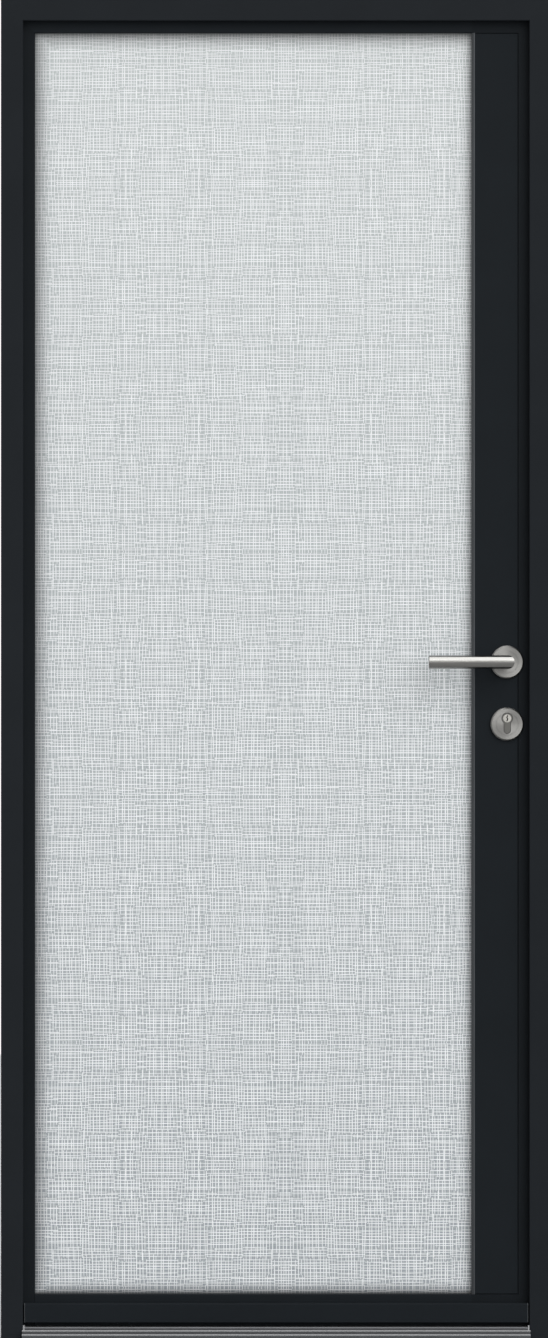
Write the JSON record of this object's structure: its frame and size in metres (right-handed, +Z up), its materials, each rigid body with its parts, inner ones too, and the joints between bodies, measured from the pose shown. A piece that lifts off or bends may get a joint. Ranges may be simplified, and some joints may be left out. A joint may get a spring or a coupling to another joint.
{
  "type": "exterior door",
  "caption": "Single-leaf inward-opening exterior door in its frame, with tall patterned glass, a flush lock panel, lever handles, a profile cylinder, a weather bar and a threshold.",
  "frame": {"origin": "middle of the underside of the threshold, at mid-depth of the frame", "axes": "+X towards the lock side, +Y into the building, +Z up"},
  "size_m": [0.9, 0.18, 2.2],
  "materials": {
    "anthracite_paint": "fine matt powder coat",
    "mill_aluminium": "satin anodised",
    "seal_rubber": "matt",
    "pattern_glass": "white thread pattern on frosted glass",
    "clear_glass": "polished",
    "stainless": "brushed",
    "zinc_steel": "zinc plated",
    "nickel_brass": "satin nickel"
  },
  "bodies": {
    "frame": {"hinge_jamb": "anthracite_paint", "lock_jamb": "anthracite_paint", "head": "anthracite_paint", "threshold": "mill_aluminium", "threshold_caps": "mill_aluminium", "sill_seal": "seal_rubber", "hinge_jamb_seal": "seal_rubber", "lock_jamb_seal": "seal_rubber", "head_seal": "seal_rubber", "strike_plate": "zinc_steel", "upper_keep": "zinc_steel", "lower_keep": "zinc_steel", "top_hinge_frame_half": "anthracite_paint", "middle_hinge_frame_half": "anthracite_paint", "bottom_hinge_frame_half": "anthracite_paint", "top_hinge_pin": "anthracite_paint", "middle_hinge_pin": "anthracite_paint", "bottom_hinge_pin": "anthracite_paint"},
    "leaf": {"hinge_stile": "anthracite_paint", "lock_stile": "anthracite_paint", "top_rail": "anthracite_paint", "bottom_rail": "anthracite_paint", "weather_bar": "anthracite_paint", "bottom_seal": "seal_rubber", "outer_pane": "pattern_glass", "spacer_bar": "mill_aluminium", "inner_pane": "clear_glass", "setting_blocks": "seal_rubber", "outer_glazing_seal": "seal_rubber", "inner_glazing_seal": "seal_rubber", "hinge_side_bead": "anthracite_paint", "lock_side_bead": "anthracite_paint", "top_bead": "anthracite_paint", "bottom_bead": "anthracite_paint", "glass_edge_trim": "mill_aluminium", "outer_lock_panel": "anthracite_paint", "inner_lock_panel": "anthracite_paint", "lock_faceplate": "stainless", "lock_case": "zinc_steel", "upper_bolt_case": "zinc_steel", "lower_bolt_case": "zinc_steel", "cylinder_body": "nickel_brass", "outer_lever_rose": "stainless", "inner_lever_rose": "stainless", "outer_key_rose": "stainless", "inner_key_rose": "stainless", "top_hinge_leaf_half": "anthracite_paint", "middle_hinge_leaf_half": "anthracite_paint", "bottom_hinge_leaf_half": "anthracite_paint"},
    "lever_set": {"outer_lever": "stainless", "inner_lever": "stainless", "spindle": "zinc_steel", "follower": "zinc_steel"},
    "cylinder_core": {"cylinder_plugs": "nickel_brass", "cylinder_cam": "zinc_steel"},
    "latch": {"latch_bolt": "zinc_steel"},
    "bolt_set": {"deadbolt": "zinc_steel", "upper_bolt": "zinc_steel", "lower_bolt": "zinc_steel"}
  },
  "joints": [
    {"name": "door_swing", "type": "hinge", "parent": "frame", "child": "leaf", "pos_m": [-0.43, 0.055, 1.1], "axis": [0, 0, 1], "range_deg": [0, 100]},
    {"name": "lever_turn", "type": "hinge", "parent": "leaf", "child": "lever_set", "pos_m": [0.378, 0.014, 1.115], "axis": [0, -1, 0], "range_deg": [0, 40], "stiffness_Nm_per_rad": 1.5, "springref_deg": -20.05},
    {"name": "plug_turn", "type": "hinge", "parent": "leaf", "child": "cylinder_core", "pos_m": [0.378, 0.014, 1.023], "axis": [0, 1, 0], "range_deg": [0, 360]},
    {"name": "latch_throw", "type": "slide", "parent": "leaf", "child": "latch", "axis": [1, 0, 0], "range_m": [0, 0.012]},
    {"name": "bolt_throw", "type": "slide", "parent": "leaf", "child": "bolt_set", "axis": [1, 0, 0], "range_m": [0, 0.02]}
  ],
  "couplings": [
    {"joint": "plug_turn", "follows": "bolt_throw", "rad_per_m": 314.16}
  ]
}
